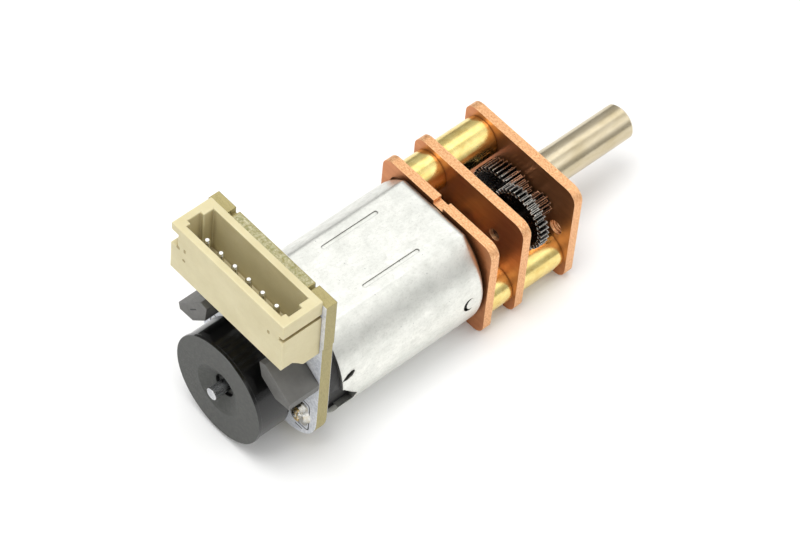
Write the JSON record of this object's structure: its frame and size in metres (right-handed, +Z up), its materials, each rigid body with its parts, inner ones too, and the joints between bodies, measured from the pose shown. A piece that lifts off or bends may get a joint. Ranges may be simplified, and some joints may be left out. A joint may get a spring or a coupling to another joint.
{
  "type": "micro gearmotor with encoder",
  "caption": "Small brushed gearmotor: flatted steel can, open spur gearbox between copper-coloured plates, D-shaft, and a magnetic encoder board with an upright pin header.",
  "frame": {"origin": "centre of the front plate's outer face, on the output shaft's axis", "axes": "+X along the output shaft, away from the motor; +Z up, towards the encoder's connector; +Y to the left seen from behind the motor"},
  "size_m": [0.0412, 0.0128, 0.0184],
  "materials": {
    "copper_plate": "copper-plated, satin, with sheared edges",
    "brass": "turned, bright",
    "screw_steel": "bright zinc",
    "bronze": "sintered, oiled",
    "shaft_steel": "ground and nickel-plated",
    "black_steel": "black oxide, oiled",
    "zinc_steel": "bright zinc plating with a mottled grain",
    "ferrite": "matte",
    "core_steel": "stacked laminations",
    "copper_wire": "enamelled, glossy",
    "commutator_copper": "polished by the brushes",
    "black_plastic": "moulded, satin",
    "white_nylon": "moulded",
    "contact_metal": "gold-plated spring metal",
    "board": "glass-epoxy board, white solder mask behind",
    "beige_nylon": "moulded, satin",
    "tinned_pin": "tin-plated",
    "sensor_epoxy": "moulded epoxy, fine grain",
    "bonded_magnet": "moulded plastic-bonded ferrite",
    "chip_black": "ceramic body with tinned ends",
    "solder": "bright, slightly lumpy"
  },
  "bodies": {
    "root": {"front_plate": "copper_plate", "mid_plate": "copper_plate", "rear_plate": "copper_plate", "front_sleeves": "brass", "rear_sleeves": "brass", "gearbox_screws": "screw_steel", "motor_screws": "screw_steel", "output_bush": "bronze", "output_washer": "black_steel", "first_gear_pin": "screw_steel", "first_gear_retainer": "black_steel", "motor_can": "zinc_steel", "front_bearing": "bronze", "rear_bearing": "bronze", "stator_magnets": "ferrite", "magnet_clip": "zinc_steel", "end_cap": "black_plastic", "brushes": "contact_metal", "motor_terminals": "contact_metal", "encoder_board": "board", "connector_housing": "beige_nylon", "connector_pins": "tinned_pin", "hall_sensor_a": "sensor_epoxy", "hall_sensor_b": "sensor_epoxy", "sensor_leads": "tinned_pin", "board_passives": "chip_black", "solder_joints": "solder"},
    "rotor": {"motor_shaft": "screw_steel", "armature_core": "core_steel", "armature_windings": "copper_wire", "commutator_hub": "black_plastic", "commutator_segments": "commutator_copper", "thrust_washers": "white_nylon", "motor_pinion": "brass", "encoder_magnet": "bonded_magnet"},
    "first_gear": {"first_wheel": "brass", "first_pinion": "black_steel"},
    "second_gear": {"second_wheel": "black_steel", "second_pinion": "black_steel"},
    "third_gear": {"third_wheel": "black_steel", "third_pinion": "black_steel"},
    "output": {"output_shaft": "shaft_steel", "output_gear": "black_steel"}
  },
  "joints": [
    {"name": "rotor_spin", "type": "hinge", "parent": "root", "child": "rotor", "pos_m": [-0.02, 0, 0], "axis": [1, 0, 0], "continuous": true},
    {"name": "first_gear_spin", "type": "hinge", "parent": "root", "child": "first_gear", "pos_m": [-0.006, 0.00309, -0.00185], "axis": [1, 0, 0], "continuous": true},
    {"name": "second_gear_spin", "type": "hinge", "parent": "root", "child": "second_gear", "pos_m": [-0.004, 0, 0], "axis": [1, 0, 0], "continuous": true},
    {"name": "third_gear_spin", "type": "hinge", "parent": "root", "child": "third_gear", "pos_m": [-0.003, -0.00309, 0.00185], "axis": [1, 0, 0], "continuous": true},
    {"name": "output_spin", "type": "hinge", "parent": "root", "child": "output", "pos_m": [0, 0, 0], "axis": [1, 0, 0], "continuous": true}
  ],
  "couplings": [
    {"joint": "first_gear_spin", "follows": "rotor_spin", "ratio": -0.4375},
    {"joint": "second_gear_spin", "follows": "rotor_spin", "ratio": 0.1625},
    {"joint": "third_gear_spin", "follows": "rotor_spin", "ratio": -0.073864},
    {"joint": "output_spin", "follows": "rotor_spin", "ratio": 0.019438}
  ]
}
